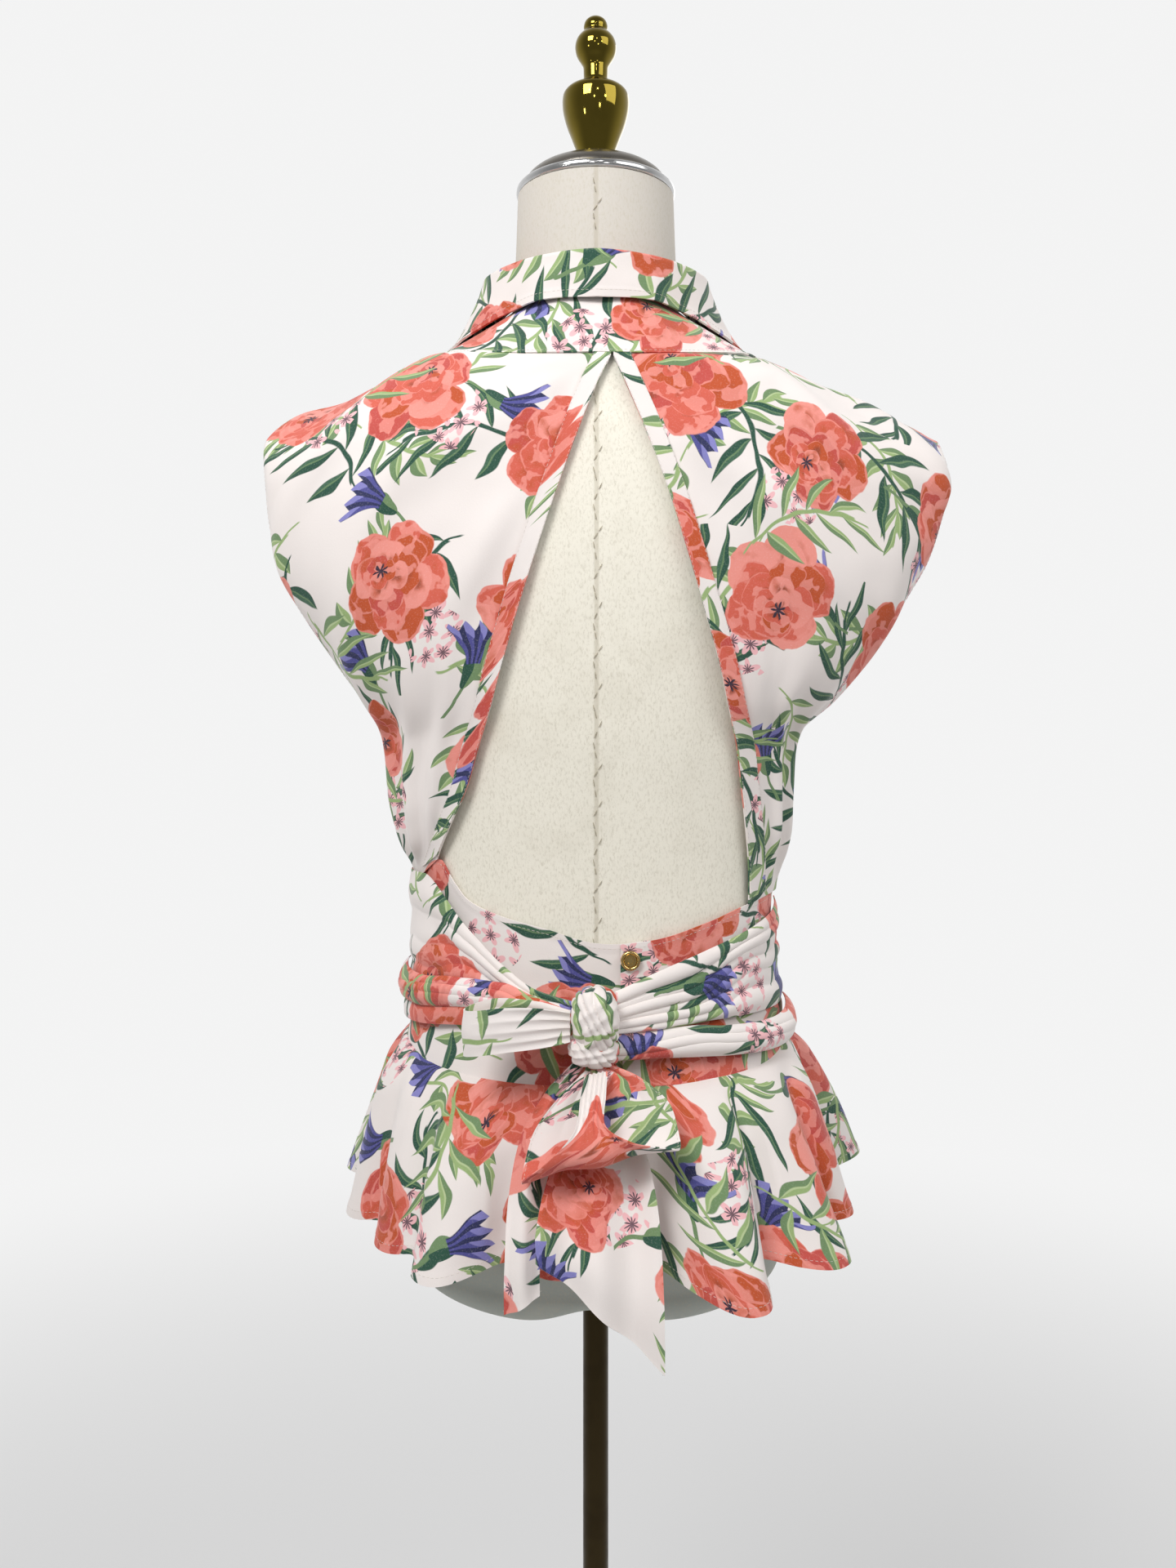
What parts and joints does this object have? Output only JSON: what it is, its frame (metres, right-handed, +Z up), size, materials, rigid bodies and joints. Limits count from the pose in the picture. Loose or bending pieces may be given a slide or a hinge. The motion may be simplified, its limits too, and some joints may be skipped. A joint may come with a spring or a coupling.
{
  "type": "peplum top on dress form",
  "caption": "Sleeveless printed peplum top with an open back, collar, tied waist and bow, worn by a limbless dress form on a pole with a round base.",
  "frame": {"origin": "centre of the round base's underside, on the pole's axis, which is where the stand meets the floor", "axes": "+Z up along the pole; the garment's back, with the opening and the bow, faces -Y and its front faces +Y; +X is the right-hand side of the picture"},
  "size_m": [0.4261, 0.3345, 1.6312],
  "materials": {
    "printed_cloth": "printed crepe, matt",
    "form_cover": "plain canvas, matt",
    "chrome_rim": "polished",
    "cap_metal": "dark, satin",
    "finial_brass": "polished",
    "pole_bronze": "dark bronze, satin",
    "button_metal": "polished"
  },
  "bodies": {
    "root": {"base_plate": "pole_bronze", "pole": "pole_bronze", "form_body": "form_cover", "neck_rim": "chrome_rim", "neck_cap": "cap_metal", "finial": "finial_brass", "back_left": "printed_cloth", "back_right": "printed_cloth", "front_left": "printed_cloth", "front_right": "printed_cloth", "opening_binding_left": "printed_cloth", "opening_binding_right": "printed_cloth", "yoke": "printed_cloth", "collar": "printed_cloth", "waistband_back_left": "printed_cloth", "waistband_back_right": "printed_cloth", "waistband_front": "printed_cloth", "peplum_back": "printed_cloth", "peplum_front": "printed_cloth", "tie_left_wide": "printed_cloth", "tie_right_wide": "printed_cloth", "tie_left_round": "printed_cloth", "tie_right_round": "printed_cloth", "tie_front": "printed_cloth", "knot": "printed_cloth", "loop_left": "printed_cloth", "loop_right": "printed_cloth", "tail_left": "printed_cloth", "tail_right": "printed_cloth", "button": "button_metal"}
  },
  "joints": []
}
